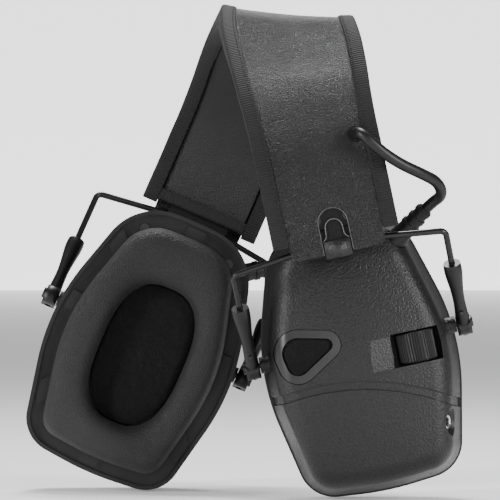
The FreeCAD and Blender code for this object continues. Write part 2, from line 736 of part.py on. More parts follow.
def ear_cushion():
    depth = CUSHION_FACE_X - CUSHION_BACK_X
    ring = prism(rim_wire(PLATE_INSET, CUSHION_BACK_X), depth)
    face = min(ring.Faces, key=lambda f: f.CenterOfMass.x)
    ring = ring.makeFillet(7.0, face.Edges)
    return ring.cut(oval(EAR_HALF, CUSHION_FACE_X - 1, CUSHION_BACK_X + 1))


def ear_foam():
    slab = draft_block(-13.4, -1.6, DISH_INSET + DISH_WALL + 0.5)
    plug = oval((EAR_HALF[0] - 0.4, EAR_HALF[1] - 0.4), FOAM_FACE_X, -13.0)
    return union([slab, plug])


def speaker():
    steps = [(18.2, -1.3, -0.05), (16.1, -0.1, 3.0), (9.0, 2.9, 5.4)]
    return union([disc(SPEAKER_CENTRE, r, x0, x1) for r, x0, x1 in steps])


def mic_bezel():
    ring = mic_plug(0, 5, 40).cut(mic_plug(MIC_RING, 4, 41))
    return ring.common(face_layer(0.3, 2.4))


def mic_foam():
    return mic_plug(MIC_RING + 0.1, 5, 40).common(face_layer(1.2, 3.4))


def mic_capsule():
    """A microphone on a post that stands on the inner shell."""
    post = disc(MIC_CENTRE, 1.5, SHELL_BACK_X, 11.2)
    return union([post, disc(MIC_CENTRE, 3.0, 11.0, 15.0)])


def thumbwheel():
    centre = V(KNOB_CENTRE[0], KNOB_CENTRE[1], KNOB_Z[0])
    top = V(KNOB_CENTRE[0], KNOB_CENTRE[1], KNOB_Z[1])
    wheel = rod(centre, top, KNOB_R)
    wheel = wheel.makeFillet(0.6, [e for e in wheel.Edges if e.Length > 2 * KNOB_R])
    return wheel.cut(rod(centre + V(0, 0, 2), top + V(0, 0, 1), KNOB_SHAFT_R + 0.06))


def potentiometer():
    x, y = KNOB_CENTRE
    shaft = rod(V(x, y, KNOB_Z[0] + 2.4), V(x, y, 3), KNOB_SHAFT_R)
    foot = block((SHELL_BACK_X, x - 4.9), (y - 4, y + 1), (3.5, 6.5))
    return union([shaft, foot, block((x - 5, x + 3.5), (y - 6, y + 4), (2.6, 7.6))])


def main_board():
    """The circuit board on four pegs that stand on the inner shell."""
    pegs = [disc((y, z), 1.5, SHELL_BACK_X, 6.5) for y in (-16, 8) for z in (14, 33)]
    return union([block((6.4, 8.0), (-20, 12), (7, 37))] + pegs)


def battery_tray():
    outer = block((DISH_FLOOR_X + DISH_WALL, 9.5), (-25.2, 25.2), (-45.2, -21.4))
    return outer.cut(block((3.1, 10), (-24.2, 24.2), (-44.2, -22.4)))


def battery_cell(z):
    half = CELL_LENGTH / 2
    can = rod(V(CELL_X, -half, z), V(CELL_X, half - 0.8, z), CELL_R)
    return union([can, rod(V(CELL_X, half - 1, z), V(CELL_X, half, z), 1.9)])


def battery_contact(sign):
    plate = block((3.6, 9.2), (23.6, 24.1), (-43.6, -22.8))
    bumps = [rod(V(CELL_X - 1, 22.3, z), V(CELL_X - 1, 23.7, z), 1.4) for z in CELL_Z]
    contact = union([plate] + bumps)
    return contact if sign > 0 else contact.mirror(V(0, 0, 0), Y_AXIS)


# ---- link cable --------------------------------------------------------------------
BOOT_AXIS = (BOOT_TIP - BOOT_ROOT).normalize()


def boot_hole():
    return rod(BOOT_ROOT - BOOT_AXIS * 3, BOOT_ROOT + BOOT_AXIS * 30, BOOT_WIDE_R + 0.05)


def strain_relief():
    """A tapered rubber boot with three ribs, in the cup frame."""
    length = (BOOT_TIP - BOOT_ROOT).Length
    cone = Part.makeCone(BOOT_WIDE_R, BOOT_NARROW_R, length, BOOT_ROOT, BOOT_AXIS)
    ribs = []
    for share in (0.62, 0.78, 0.94):
        radius = BOOT_WIDE_R + (BOOT_NARROW_R - BOOT_WIDE_R) * share + 0.45
        start = BOOT_ROOT + BOOT_AXIS * (length * share - 0.9)
        ribs.append(rod(start, start + BOOT_AXIS * 1.6, radius))
    bore = rod(BOOT_TIP - BOOT_AXIS * 6, BOOT_TIP + BOOT_AXIS, CABLE_R + 0.02)
    return union([cone] + ribs).cut(bore)


def cable_points(side):
    """Free route of the link cable from the band's eyelet to the boot, in the half frame."""
    boot_tip = pivot_point(side) + BOOT_TIP
    inside = boot_tip - BOOT_AXIS * 5.5
    outward = V(math.sin(EYELET_TURN), 0, math.cos(EYELET_TURN))
    first = [EYELET_PLACE - outward * 0.6, EYELET_PLACE + outward * 2.2, V(78.6, 18.5, -53.4)]
    routes = {
        "left": [V(78.2, 24.2, -61.8), V(75.3, 31.0, -68.6), V(71.0, 38.4, -74.0),
                 V(65.6, 44.2, -78.6), V(60.4, 45.0, -84.2)],
        "right": [V(78.2, 24.6, -62.6), V(75.0, 31.6, -71.0), V(68.4, 38.8, -79.2),
                  V(61.6, 44.4, -86.0), V(56.1, 45.0, -92.3)],
    }
    return first + routes[side] + [boot_tip + BOOT_AXIS * 3.2, inside]


def cup_nodes(side):
    shell = cup_shell().cut(groove_tool())
    nodes = {
        "outer_housing": upper_housing(shell, side),
        "inner_shell": inner_shell(side),
        "cushion_plate": cushion_plate(),
        "ear_cushion": ear_cushion(),
        "ear_foam": ear_foam(),
        "speaker": speaker(),
        "shell_screws": group([shell_screw(c) for c in bosses_of(side)]),
        "mic_bezel": mic_bezel(),
        "mic_foam": mic_foam(),
        "mic_capsule": mic_capsule(),
        "strain_relief": strain_relief(),
    }
    nodes = {name + "_" + side: shape for name, shape in nodes.items()}
    if side == "left":
        nodes["lower_cover_left"] = lower_cover_left(shell)
        nodes["volume_thumbwheel"] = thumbwheel()
        nodes["potentiometer"] = potentiometer()
        nodes["main_board"] = main_board()
        nodes["aux_jack"] = aux_jack()
    else:
        nodes["battery_door"] = battery_door(shell)
        nodes["battery_tray"] = battery_tray()
        nodes["battery_cells"] = group([battery_cell(z) for z in CELL_Z])
        nodes["battery_contacts"] = group([battery_contact(1), battery_contact(-1)])
        nodes["door_pin"] = door_rod(-16.2, 16.2, DOOR_PIN_R)
    frame = cup_frame(side)
    nodes = {name: in_half(placed(shape, frame), side) for name, shape in nodes.items()}
    points = cable_points(side)
    nodes["link_cable_" + side] = in_half(cord_tube("link_cable_" + side, points, CABLE_R), side)
    return nodes


def world(point, side, shift=V(0, 0, 0)):
    """A point of the half frame at its final place; with no shift given, still uncentred."""
    mirrored = V(-point.x, point.y, point.z) if side == "right" else point
    return FreeCAD.Rotation(X_AXIS, LEAN[side]).multVec(mirrored) + V(0, 0, CROWN_HEIGHT) + shift


def print_interfaces(shift):
    """Where the joints and the jack are in the finished model, for the record."""
    incline = math.radians(LEG_LEAN)
    leg_up = V(math.sin(incline), 0, math.cos(incline))
    for side in LEAN:
        pivot = pivot_point(side)
        origin = world(V(0, 0, 0), side)
        places = {"fold": BAR_POINT, "tilt": pivot}
        directions = {"rearward": Y_AXIS, "leg_up": leg_up, "cup_up": Z_AXIS, "out": X_AXIS}
        if side == "left":
            places["wheel"] = pivot + V(KNOB_CENTRE[0], KNOB_CENTRE[1], sum(KNOB_Z) / 2)
            places["jack"] = pivot + jack_point(0.2)
            directions["jack_out"] = JACK_AXIS
        else:
            places["door"] = pivot + V(DOOR_PIN[0], 0, DOOR_PIN[1])
        for name, point in places.items():
            print("place", side, name, *[round(c, 3) for c in world(point, side, shift)])
        for name, way in directions.items():
            print("axis", side, name, *[round(c, 5) for c in world(way, side) - origin])


def centring_shift(shapes):
    """Moves the whole so that it stands on z = 0 with the origin below its middle."""
    box = FreeCAD.BoundBox()
    for shape in shapes:
        for point in shape.tessellate(0.2)[0]:
            box.add(point)
    print("box", box)
    return V(-box.Center.x, -box.Center.y, -box.ZMin)


def main():
    nodes = headband_nodes()
    for side in LEAN:
        nodes.update(suspension_nodes(side))
        nodes.update(cup_nodes(side))
    shift = centring_shift(nodes.values())
    os.makedirs("parts", exist_ok=True)
    for name, shape in nodes.items():
        nodes[name] = shape.copy()
        nodes[name].translate(shift)
        nodes[name].exportStep("parts/" + name + ".step")
        print(name, len(shape.Solids), shape.isValid(), round(shape.Volume))
    print_interfaces(shift)


main()
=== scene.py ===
import json
import math

import bmesh
import bpy
from mathutils import Matrix, Vector, noise


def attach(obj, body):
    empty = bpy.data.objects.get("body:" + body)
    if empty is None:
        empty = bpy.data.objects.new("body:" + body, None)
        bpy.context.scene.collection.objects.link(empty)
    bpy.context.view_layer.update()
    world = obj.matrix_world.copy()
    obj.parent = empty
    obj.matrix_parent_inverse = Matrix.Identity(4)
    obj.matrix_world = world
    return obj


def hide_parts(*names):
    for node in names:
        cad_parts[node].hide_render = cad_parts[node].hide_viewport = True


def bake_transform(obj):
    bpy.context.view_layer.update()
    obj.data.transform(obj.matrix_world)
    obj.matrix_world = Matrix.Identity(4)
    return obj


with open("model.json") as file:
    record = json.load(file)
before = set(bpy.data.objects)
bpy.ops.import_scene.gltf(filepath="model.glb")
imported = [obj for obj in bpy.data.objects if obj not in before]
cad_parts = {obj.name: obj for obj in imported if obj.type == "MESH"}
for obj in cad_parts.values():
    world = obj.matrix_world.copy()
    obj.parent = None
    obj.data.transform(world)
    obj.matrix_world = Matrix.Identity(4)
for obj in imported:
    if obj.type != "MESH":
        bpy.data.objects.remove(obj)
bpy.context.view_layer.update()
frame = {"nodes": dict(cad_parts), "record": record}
NODES = frame["nodes"]
MM = 0.001

# ---- where things are, in millimetres, as in the CAD --------------------------------
CROWN = Vector((0, 16.1082, 194.4))
LEAN = {"left": 12.0, "right": -23.5}
TWIST_REACH = 52.0
BAND_RADIUS = 72.0
BAND_ARC = 93.0
BAR_DROP = 94.5
END_TILT = math.radians(BAND_ARC - 90)
ARC_LENGTH = BAND_RADIUS * math.radians(BAND_ARC)
ARC_DROP = BAND_RADIUS * (1 - math.cos(math.radians(BAND_ARC)))
HALF_WIDTH = 24.8
PAD_T = 9.4                                 # leather, foam and lining together, at the crown
PAD_THINNING = 2.6                          # how much thinner the pad is at the band's ends
SPREAD = 1.5                                # how far the soft edges stand out at the crown
BINDING_WIDTH = 5.6
COVER_T = 1.2
FLAP_HALF_WIDTH = 19.0
FLAP_DROP = BAR_DROP - 2.8
COVER_TUCK = 2.6                            # how far the leather runs on under each binding
COVER_CROWN = 0.45
EYELET_DROP = 53.2
EYELET_Y = 15.8
EYELET_HOLE_R = 2.65
BAR_DEPTH = 3.7
WINDOW_HALF_WIDTH = 5.8
WINDOW_TOP = 15.0
PIVOT = {"left": Vector((41.619, 44.349, 61.535)), "right": Vector((-37.303, -41.283, 62.407))}
RIM_POINTS = [(0, -60.5), (31, -57.5), (42, -4), (26, 50.5), (0, 52),
              (-26, 50.5), (-42, -4), (-31, -57.5)]
RIM_RADII = [120, 15, 90, 24, 150, 24, 90, 15]
PLATE_INSET = 6.9
CUSHION_BACK_X = -16.4
CUSHION_FACE_X = -31.5
EAR_HALF = (17.5, 29.5)
EAR_CENTRE = (1.0, -7.0)
EAR_POWER = 2.7                             # 2 would be an ellipse, more is squarer
FOAM_FACE_X = -21.5
FOAM_BACK_X = -13.2
MIC_POINTS = [(-36.5, 14.5), (-30.5, -14.8), (2.5, 5.7)]
MIC_RADII = [9.5, 8.0, 5.8]
MIC_RING = 3.2
KNOB_CENTRE = (10.6, 22.6)
KNOB_R = 8.2
KNOB_Z = (-11.2, 1.2)
CABLE_R = 2.25
JACK_MOUTH = Vector((11.2, 28.4, -36.9))
JACK_AXIS = Vector((0.42, 0.89, -0.17)).normalized()


def lean_over(point, degrees):
    return Matrix.Rotation(math.radians(degrees), 3, "X") @ Vector(point)


def mirrored(point, side):
    x, y, z = point
    return (-x, y, z) if side == "right" else (x, y, z)


def to_world(point, side):
    """From the half frame, with its origin on the crown, to the model's frame in metres."""
    return (lean_over(mirrored(point, side), LEAN[side]) + CROWN) * MM


def from_cup(point, side):
    """From the cup frame, with its origin on the pivots' axis, to the model's frame."""
    return (lean_over(mirrored(point, side), LEAN[side]) + PIVOT[side]) * MM


def smooth(t):
    t = min(max(t, 0), 1)
    return t * t * (3 - 2 * t)


def along(drop):
    if drop <= ARC_DROP:
        return BAND_RADIUS * math.acos(1 - drop / BAND_RADIUS)
    return ARC_LENGTH + (drop - ARC_DROP) / math.cos(END_TILT)


def band_point(s, depth, across):
    """A point of the twisted band: s along it, depth below its outer surface, in metres."""
    reach = min(abs(s), ARC_LENGTH)
    turn = reach / BAND_RADIUS
    beyond = abs(s) - reach
    radius = BAND_RADIUS - depth
    x = radius * math.sin(turn) + beyond * math.cos(turn)
    z = radius * math.cos(turn) - BAND_RADIUS - beyond * math.sin(turn)
    share = smooth((s + TWIST_REACH) / (2 * TWIST_REACH))
    lean = LEAN["right"] + (LEAN["left"] - LEAN["right"]) * share
    return (lean_over((math.copysign(x, s), across, z), lean) + CROWN) * MM


def pad_depth(s):
    return PAD_T - PAD_THINNING * smooth((abs(s) - 50) / 55)


def spread(s):
    """How far the soft edges stand out beyond the CAD's: the band is fullest near its crown."""
    return SPREAD * smooth((92 - abs(s)) / 45)


def end_place(point, side):
    """From the frame of a band end, with its origin on the yoke's bar, to the model's frame."""
    bar = (BAR_DROP - ARC_DROP + BAR_DEPTH * math.sin(END_TILT)) / math.cos(END_TILT)
    radius = BAND_RADIUS - BAR_DEPTH
    turn = math.radians(BAND_ARC)
    origin = Vector((radius * math.sin(turn) + bar * math.cos(turn), 0,
                     radius * math.cos(turn) - BAND_RADIUS - bar * math.sin(turn)))
    return to_world(origin + Matrix.Rotation(END_TILT, 3, "Y") @ Vector(point), side)


def ripple(x, y, z, size):
    """Smooth noise between -1 and 1 whose features are about that many millimetres."""
    return noise.noise(Vector((x, y, z)) / size)


# ---- camera and light ---------------------------------------------------------------
def aim(obj, target):
    obj.rotation_mode = "QUATERNION"
    obj.rotation_quaternion = (Vector(target) - obj.location).to_track_quat("-Z", "Y")


CAMERA_TARGET = Vector((0, 0.0012, 0.0989))
CAMERA_ELEVATION = math.radians(0.8)
CAMERA_DISTANCE = 2.4
CAMERA_SPAN = 0.2035                        # width of the view at the target, in metres

camera_data = bpy.data.cameras.new("camera")
camera = bpy.data.objects.new("camera", camera_data)
bpy.context.scene.collection.objects.link(camera)
camera_data.sensor_width = 36
camera_data.lens = 36 * CAMERA_DISTANCE / CAMERA_SPAN
camera_data.clip_end = 20
camera.location = CAMERA_TARGET + Vector(
    (math.cos(CAMERA_ELEVATION), 0, math.sin(CAMERA_ELEVATION))) * CAMERA_DISTANCE
aim(camera, CAMERA_TARGET)
bpy.context.scene.camera = camera


def area_light(name, place, target, size, power):
    data = bpy.data.lights.new(name, "AREA")
    data.shape = "RECTANGLE"
    data.size, data.size_y = size
    data.energy = power
    light = bpy.data.objects.new(name, data)
    bpy.context.scene.collection.objects.link(light)
    light.location = place
    aim(light, target)


area_light("top_box", (-0.42, 0.04, 0.92), (0.04, 0.02, 0.16), (0.20, 0.20), 5.5)
area_light("high_box", (-0.22, -0.10, 1.05), (0.04, 0, 0.16), (0.20, 0.20), 5)
area_light("front_box", (1.90, 0.10, 0.20), (0, 0, 0.10), (1.20, 0.50), 5.5)
area_light("left_strip", (0.60, -0.90, 0.40), (0, 0, 0.10), (0.12, 0.60), 10)
area_light("right_strip", (0.75, 0.80, 0.40), (0, 0, 0.10), (0.12, 0.50), 11)

world = bpy.data.worlds.new("studio")
world.use_nodes = True
world.node_tree.nodes["Background"].inputs["Color"].default_value = (1, 1, 1, 1)
world.node_tree.nodes["Background"].inputs["Strength"].default_value = 0.20
bpy.context.scene.world = world


# ---- materials ----------------------------------------------------------------------
def new_material(name, colour, rough, metal=0.0, sheen=0.0, specular=0.5):
    material = bpy.data.materials.new(name)
    material.use_nodes = True
    tree = material.node_tree
    shader = tree.nodes["Principled BSDF"]
    shader.inputs["Metallic"].default_value = metal
    shader.inputs["Specular IOR Level"].default_value = specular
    shader.inputs["Sheen Weight"].default_value = sheen
    shader.inputs["Sheen Roughness"].default_value = 0.5
    shader.inputs["Base Color"].default_value = (*colour, 1)
    shader.inputs["Roughness"].default_value = rough
    return material, tree, shader


def add_noise(tree, scale, detail=3.0, rough=0.55):
    coords = tree.nodes.new("ShaderNodeTexCoord")
    texture = tree.nodes.new("ShaderNodeTexNoise")
    texture.inputs["Scale"].default_value = scale
    texture.inputs["Detail"].default_value = detail
    texture.inputs["Roughness"].default_value = rough
    tree.links.new(coords.outputs["Object"], texture.inputs["Vector"])
    return texture.outputs["Fac"]


def add_range(tree, value, low, high, from_low=0.3, from_high=0.7):
    """Maps a value's useful part, from_low to from_high, onto low to high."""
    node = tree.nodes.new("ShaderNodeMapRange")
    node.inputs["From Min"].default_value = from_low
    node.inputs["From Max"].default_value = from_high
    node.inputs["To Min"].default_value = low
    node.inputs["To Max"].default_value = high
    tree.links.new(value, node.inputs["Value"])
    return node.outputs["Result"]


def add_tint(tree, shader, value, colour, share):
    """Colour that wanders by a share of itself either way with a value between 0 and 1."""
    ramp = tree.nodes.new("ShaderNodeValToRGB")
    ramp.color_ramp.elements[0].position = 0.3
    ramp.color_ramp.elements[1].position = 0.7
    for element, factor in zip(ramp.color_ramp.elements, (1 - share, 1 + share)):
        element.color = (*[c * factor for c in colour], 1)
    tree.links.new(value, ramp.inputs["Fac"])
    tree.links.new(ramp.outputs["Color"], shader.inputs["Base Color"])


def add_bump(tree, shader, heights, strength):
    """Chains bumps: heights is a list of (height output, depth in metres)."""
    normal = None
    for height, depth in heights:
        bump = tree.nodes.new("ShaderNodeBump")
        bump.inputs["Strength"].default_value = strength
        bump.inputs["Distance"].default_value = depth
        tree.links.new(height, bump.inputs["Height"])
        if normal:
            tree.links.new(normal, bump.inputs["Normal"])
        normal = bump.outputs["Normal"]
    tree.links.new(normal, shader.inputs["Normal"])


def moulded(name, colour, rough, grain, depth, specular=0.38):
    """Moulded plastic or rubber with a fine even grain and faint handling marks."""
    material, tree, shader = new_material(name, colour, rough, specular=specular)
    fine = add_noise(tree, grain, 2.0)
    broad = add_noise(tree, 60, 4.0)
    add_tint(tree, shader, fine, colour, 0.6)
    tree.links.new(add_range(tree, broad, rough - 0.05, rough + 0.06), shader.inputs["Roughness"])
    add_bump(tree, shader, [(fine, depth)], 0.6)
    return material


def leather(name, colour, rough, pebble, depth, sheen=0.0):
    """Leatherette: pebbles with creases between them, and pores that vary its colour and roughness.
    """
    material, tree, shader = new_material(name, colour, rough, sheen=sheen, specular=0.38)
    coords = tree.nodes.new("ShaderNodeTexCoord")
    cells = tree.nodes.new("ShaderNodeTexVoronoi")
    cells.feature = "DISTANCE_TO_EDGE"
    cells.inputs["Scale"].default_value = pebble
    tree.links.new(coords.outputs["Object"], cells.inputs["Vector"])
    crease = add_range(tree, cells.outputs["Distance"], 0.0, 1.0, 0.0, 0.25)
    pores = add_noise(tree, pebble * 2.2, 3.0)
    add_tint(tree, shader, pores, colour, 0.6)
    tree.links.new(add_range(tree, pores, rough - 0.08, rough + 0.10), shader.inputs["Roughness"])
    add_bump(tree, shader, [(crease, depth), (pores, depth * 0.6)], 0.7)
    return material


def fuzzy(name, colour, size, depth):
    """Open-cell foam with a dusty, light-drinking surface."""
    material, tree, shader = new_material(name, colour, 0.96, sheen=0.08, specular=0.2)
    fine = add_noise(tree, size, 6.0, 0.75)
    coarse = add_noise(tree, size * 0.3, 3.0)
    add_tint(tree, shader, fine, colour, 0.7)
    add_bump(tree, shader, [(coarse, depth), (fine, depth)], 1.0)
    return material


def webbing(name, colour, pitch):
    """Ribbed tape.  The first texture coordinate runs along the tape in metres."""
    material, tree, shader = new_material(name, colour, 0.72, sheen=0.05, specular=0.35)
    coords = tree.nodes.new("ShaderNodeTexCoord")
    waves = []
    for direction, spacing in (("X", pitch), ("Y", pitch * 0.55)):
        wave = tree.nodes.new("ShaderNodeTexWave")
        wave.wave_type = "BANDS"
        wave.bands_direction = direction
        wave.wave_profile = "SIN"
        wave.inputs["Scale"].default_value = math.pi / 10 / spacing
        wave.inputs["Distortion"].default_value = 0.4
        wave.inputs["Detail Scale"].default_value = 2.0
        tree.links.new(coords.outputs["UV"], wave.inputs["Vector"])
        waves.append(wave.outputs["Fac"])
    threads = add_noise(tree, 2600, 3.0)
    add_tint(tree, shader, waves[0], colour, 0.35)
    add_bump(tree, shader, [(waves[0], 0.00022), (waves[1], 0.00006), (threads, 0.00005)], 0.8)
    return material


def metal(name, colour, rough):
    """Turned or drawn metal with faint tool marks."""
    material, tree, shader = new_material(name, colour, rough, metal=1.0)
    fine = add_noise(tree, 1500, 2.0)
    add_tint(tree, shader, add_noise(tree, 120, 3.0), colour, 0.12)
    tree.links.new(add_range(tree, fine, rough - 0.08, rough + 0.10), shader.inputs["Roughness"])
    add_bump(tree, shader, [(fine, 0.00002)], 0.4)
    return material


MATERIALS = {
    "band_leather": leather("band_leather", (0.006, 0.006, 0.0064), 0.31, 1400, 0.00036),
    "lining_leather": leather("lining_leather", (0.009, 0.009, 0.0095), 0.55, 1000, 0.00016),
    "band_foam": fuzzy("band_foam", (0.10, 0.10, 0.10), 1500, 0.0002),
    "binding": webbing("binding", (0.004, 0.004, 0.0042), 0.0011),
    "spring_steel": moulded("spring_steel", (0.003, 0.003, 0.0032), 0.45, 1500, 0.00002, 0.2),
    "cable": moulded("cable", (0.004, 0.004, 0.004), 0.42, 900, 0.00003),
    "cable_boot": moulded("cable_boot", (0.004, 0.004, 0.004), 0.55, 1500, 0.00004),
    "black_trim": moulded("black_trim", (0.004, 0.004, 0.0042), 0.42, 1600, 0.00003),
    "clip_plastic": moulded("clip_plastic", (0.002, 0.002, 0.0021), 0.5, 1300, 0.00045, 0.2),
    "dark_steel": moulded("dark_steel", (0.006, 0.006, 0.0063), 0.30, 1800, 0.00002),
    "arm_plastic": moulded("arm_plastic", (0.004, 0.004, 0.0042), 0.40, 1500, 0.00004),
    "pin_steel": metal("pin_steel", (0.05, 0.05, 0.052), 0.38),
    "housing": moulded("housing", (0.009, 0.009, 0.0094), 0.38, 1300, 0.00050),
    "shell_plastic": moulded("shell_plastic", (0.004, 0.004, 0.0042), 0.45, 1600, 0.00004),
    "cushion": leather("cushion", (0.014, 0.014, 0.0146), 0.56, 1100, 0.00020, sheen=0.03),
    "ear_foam": fuzzy("ear_foam", (0.0065, 0.0065, 0.0067), 1000, 0.0010),
    "mic_foam": fuzzy("mic_foam", (0.0028, 0.0028, 0.0029), 1200, 0.0008),
    "bezel": moulded("bezel", (0.012, 0.012, 0.0125), 0.30, 2400, 0.00003, 0.5),
    "circuit_board": moulded("circuit_board", (0.02, 0.12, 0.05), 0.35, 900, 0.00003),
    "jack_metal": metal("jack_metal", (0.75, 0.75, 0.76), 0.22),
    "cell_wrap": moulded("cell_wrap", (0.30, 0.31, 0.33), 0.30, 900, 0.00002),
}

SLOT_OF = {entry["node"]: entry["material_slot"] for entry in frame["record"]["subparts"]}
for node, obj in NODES.items():
    obj.data.materials.clear()
    obj.data.materials.append(MATERIALS[SLOT_OF[node]])


# ---- mesh builders ------------------------------------------------------------------
def make_object(name, points, faces, slot, uvs=None, smooth_shading=True):
    mesh = bpy.data.meshes.new(name)
    mesh.from_pydata([tuple(p) for p in points], [], faces)
    mesh.validate()
    if smooth_shading:
        mesh.polygons.foreach_set("use_smooth", [True] * len(mesh.polygons))
    if uvs:
        layer = mesh.uv_layers.new(name="tape")
        for loop in mesh.loops:
            layer.data[loop.index].uv = uvs[loop.vertex_index]
    mesh.materials.append(MATERIALS[slot])
    obj = bpy.data.objects.new(name, mesh)
    bpy.context.scene.collection.objects.link(obj)
    return obj


def ring_faces(rings, count, closed=True):
    """Quads between rings of equal count; the rings themselves are closed loops."""
    faces = []
    for r in range(rings if closed else rings - 1):
        low, high = r * count, (r + 1) % rings * count
        for i in range(count):
            j = (i + 1) % count
            faces.append((low + i, low + j, high + j, high + i))
    return faces


def tube_faces(rings, count):
    """The faces of a tube of rings that is capped at both ends."""
    caps = [tuple(range(count))[::-1], tuple(range((rings - 1) * count, rings * count))]
    return ring_faces(rings, count, closed=False) + caps


def strip(name, slot, section, s_from, s_to, step, swap=False):
    """A closed strip along the band whose section at s is a loop of (depth, across)."""
    count = max(2, int(abs(s_to - s_from) / step) + 1)
    points, uvs = [], []
    for k in range(count):
        s = s_from + (s_to - s_from) * k / (count - 1)
        loop = section(s)
        run = 0.0
        for i, (depth, across) in enumerate(loop):
            if i:
                run += math.hypot(depth - loop[i - 1][0], across - loop[i - 1][1])
            points.append(band_point(s, depth, across))
            uvs.append((run * MM, s * MM) if swap else (s * MM, run * MM))
    size = len(points) // count
    return make_object(name, points, tube_faces(count, size), slot, uvs)


def apply_modifiers(obj):
    """Bakes the object's modifiers into its mesh."""
    graph = bpy.context.evaluated_depsgraph_get()
    mesh = bpy.data.meshes.new_from_object(obj.evaluated_get(graph))
    obj.modifiers.clear()
    obj.data = mesh


def subdivide(obj, levels=1):
    modifier = obj.modifiers.new("smooth", "SUBSURF")
    modifier.levels = levels
    modifier.render_levels = levels
    apply_modifiers(obj)


def cut_with(obj, cutters):
    for cutter in cutters:
        modifier = obj.modifiers.new("cut", "BOOLEAN")
        modifier.operation = "DIFFERENCE"
        modifier.solver = "EXACT"
        modifier.object = cutter
        apply_modifiers(obj)
        bpy.data.objects.remove(cutter)


def prism_between(name, outline, place, low, high):
    """A closed prism from outline points (a, b), placed by place(depth, a, b)."""
    points = [place(low, a, b) for a, b in outline] + [place(high, a, b) for a, b in outline]
    obj = make_object(name, points, tube_faces(2, len(outline)), "black_trim")
    make_normals_outward(obj)
    return obj


def make_normals_outward(obj):
    work = bmesh.new()
    work.from_mesh(obj.data)
    bmesh.ops.recalc_face_normals(work, faces=work.faces)
    work.to_mesh(obj.data)
    work.free()


def rounded_outline(corners, radii, inset, steps=8):
    """Points (y, z) around a polygon moved in by inset, with arcs at its corners."""
    corners = [Vector(c) for c in corners]
    outline = []
    for i, corner in enumerate(corners):
        arriving = (corner - corners[i - 1]).normalized()
        leaving = (corners[(i + 1) % len(corners)] - corner).normalized()
        inward = Vector((-arriving.y, arriving.x)) + Vector((-leaving.y, leaving.x))
        turn = arriving.angle(leaving)
        radius = radii[i] - inset
        middle = corner + inward * (inset / (1 + math.cos(turn)))
        centre = middle + inward.normalized() * (radius / math.cos(turn / 2))
        start = middle - arriving * (radius * math.tan(turn / 2))
        first = start - centre
        for k in range(steps + 1):
            angle = turn * k / steps
            outline.append(centre + Matrix.Rotation(angle, 2) @ first)
    return outline


def ray_radius(outline, centre, direction):
    """Distance from centre to the outline along a unit direction."""
    best = 0.0
    for i, end in enumerate(outline):
        start = outline[i - 1]
        edge = end - start
        cross = direction.x * edge.y - direction.y * edge.x
        if abs(cross) < 1e-9:
            continue
        gap = start - centre
        reach = (gap.x * edge.y - gap.y * edge.x) / cross
        share = (gap.x * direction.y - gap.y * direction.x) / cross
        if reach > 0 and -1e-6 <= share <= 1 + 1e-6:
            best = max(best, reach)
    return best


# ---- link cables --------------------------------------------------------------------
def eyelet_frame():
    """The eyelet's place in the half frame, its way out and its way along the band."""
    turn = along(EYELET_DROP) / BAND_RADIUS
    place = Vector((BAND_RADIUS * math.sin(turn), EYELET_Y, BAND_RADIUS * (math.cos(turn) - 1)))
    outward = Vector((math.sin(turn), 0, math.cos(turn)))
    forward = Vector((math.cos(turn), 0, -math.sin(turn)))
    return place, outward, forward


def cord_points(side):
    """Control points of a link cable, from inside its eyelet to inside its boot."""
    place, outward, _ = eyelet_frame()
    route = {
        "left": [(78.2, 24.2, -61.8), (75.3, 31.0, -68.6), (71.0, 38.4, -74.0),
                 (65.6, 44.2, -78.6), (60.4, 45.0, -84.2)],
        "right": [(78.2, 24.6, -62.6), (75.0, 31.6, -71.0), (68.4, 38.8, -79.2),
                  (61.6, 44.4, -86.0), (56.1, 45.0, -92.3)],
    }
    first = [place - outward * 0.6, place + outward * 2.2, (78.6, 18.5, -53.4)]
    points = [to_world(p, side) for p in first + route[side]]
    root, tip = Vector((7.2, 18.9, 35.0)), Vector((14.5, 37.3, 47.8))
    boot = (tip - root).normalized()
    return points + [from_cup(tip + boot * 3.2, side), from_cup(tip - boot * 5.5, side)]


def centre_line(name, points):
    """Points along the smooth line that the route's control points make."""
    curve = bpy.data.curves.new(name, "CURVE")
    curve.dimensions = "3D"
    curve.resolution_u = 16
    spline = curve.splines.new("NURBS")
    spline.points.add(len(points) - 1)
    for spot, point in zip(spline.points, points):
        spot.co = (*point, 1)
    spline.order_u = 3
    spline.use_endpoint_u = True
    holder = bpy.data.objects.new(name, curve)
    bpy.context.scene.collection.objects.link(holder)
    graph = bpy.context.evaluated_depsgraph_get()
    mesh = bpy.data.meshes.new_from_object(holder.evaluated_get(graph))
    line = [v.co.copy() for v in mesh.vertices]
    bpy.data.objects.remove(holder)
    return line


def sweep(name, line, radius_at, slot, sides=20):
    """A closed tube along a line, with frames carried along it without twisting."""
    points = []
    tangent = (line[1] - line[0]).normalized()
    up = tangent.orthogonal().normalized()
    total = sum((b - a).length for a, b in zip(line, line[1:]))
    run = 0.0
    uvs = []
    for k, spot in enumerate(line):
        if k:
            run += (spot - line[k - 1]).length
        ahead = line[min(k + 1, len(line) - 1)] - line[max(k - 1, 0)]
        turn = tangent.rotation_difference(ahead.normalized())
        up = (turn @ up).normalized()
        tangent = ahead.normalized()
        side = tangent.cross(up)
        for i in range(sides):
            angle = 2 * math.pi * i / sides
            offset = up * math.cos(angle) + side * math.sin(angle)
            points.append(spot + offset * radius_at(run / total))
            uvs.append((run, i / sides))
    return make_object(name, points, tube_faces(len(line), sides), slot, uvs)


for side in LEAN:
    line = centre_line("route_" + side, cord_points(side))
    cable = sweep("cable_" + side, line, lambda share: CABLE_R * MM, "cable")
    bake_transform(cable)
    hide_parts("link_cable_" + side)


